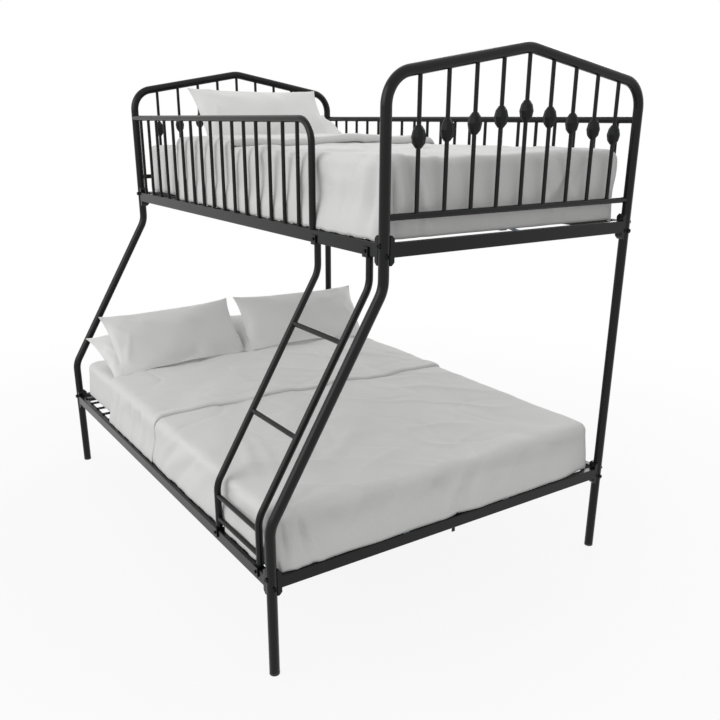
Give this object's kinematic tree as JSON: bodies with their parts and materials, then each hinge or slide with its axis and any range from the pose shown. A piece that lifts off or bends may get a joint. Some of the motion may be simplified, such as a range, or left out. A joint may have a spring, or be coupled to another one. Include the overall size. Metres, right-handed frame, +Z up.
{
  "type": "bunk bed",
  "caption": "Metal bunk bed, a narrow bunk over a wide one, with slanted front posts, a bent ladder, guard rails, peaked ends with knotted spindles, and bedding.",
  "frame": {"origin": "on the floor, midway between the four lower posts", "axes": "+X along the beds from the head end to the foot end, +Y from the ladder side to the back, +Z up"},
  "size_m": [1.972, 1.447, 1.798],
  "materials": {
    "black_powder_coat": "satin powder coat",
    "black_cast_knots": "satin powder coat",
    "black_zinc_steel": "semi-gloss",
    "plain_steel": "plain",
    "black_plastic": "matte",
    "grey_webbing": "woven",
    "fitted_sheet": "woven cotton",
    "duvet_cotton": "woven cotton",
    "pillow_cotton": "woven cotton"
  },
  "bodies": {
    "root": {"back_guard_rail": "black_powder_coat", "back_guard_spindles": "black_powder_coat", "centre_rail_bolts": "black_zinc_steel", "centre_rail_hooks": "black_powder_coat", "foot_caps": "black_plastic", "front_guard_frame": "black_powder_coat", "front_guard_spindles": "black_powder_coat", "ladder_bolts": "black_zinc_steel", "ladder_rungs": "black_powder_coat", "ladder_tabs": "black_powder_coat", "left_back_leg": "black_powder_coat", "left_end_crossbar": "black_powder_coat", "left_end_hoop": "black_powder_coat", "left_end_knots": "black_cast_knots", "left_end_spindles": "black_powder_coat", "left_front_leg": "black_powder_coat", "left_ladder_stile": "black_powder_coat", "leg_joint_sleeves": "plain_steel", "lower_back_rail": "black_powder_coat", "lower_back_strap": "grey_webbing", "lower_centre_rail": "black_powder_coat", "lower_duvet": "duvet_cotton", "lower_far_back_pillow": "pillow_cotton", "lower_far_front_pillow": "pillow_cotton", "lower_frame_bolts": "black_zinc_steel", "lower_front_rail": "black_powder_coat", "lower_front_strap": "grey_webbing", "lower_left_end_rail": "black_powder_coat", "lower_mattress": "fitted_sheet", "lower_near_back_pillow": "pillow_cotton", "lower_near_front_pillow": "pillow_cotton", "lower_rail_brackets": "black_powder_coat", "lower_right_end_rail": "black_powder_coat", "lower_slat_clips": "black_plastic", "lower_slat_rivets": "black_zinc_steel", "lower_slats": "black_powder_coat", "right_back_leg": "black_powder_coat", "right_end_crossbar": "black_powder_coat", "right_end_hoop": "black_powder_coat", "right_end_knots": "black_cast_knots", "right_end_spindles": "black_powder_coat", "right_front_leg": "black_powder_coat", "right_ladder_stile": "black_powder_coat", "upper_back_pillow": "pillow_cotton", "upper_back_rail": "black_powder_coat", "upper_duvet": "duvet_cotton", "upper_frame_bolts": "black_zinc_steel", "upper_front_pillow": "pillow_cotton", "upper_front_rail": "black_powder_coat", "upper_left_end_rail": "black_powder_coat", "upper_mattress": "fitted_sheet", "upper_rail_brackets": "black_powder_coat", "upper_right_end_rail": "black_powder_coat", "upper_slat_rivets": "black_zinc_steel", "upper_slats": "black_powder_coat", "upper_strap": "grey_webbing"}
  },
  "joints": []
}
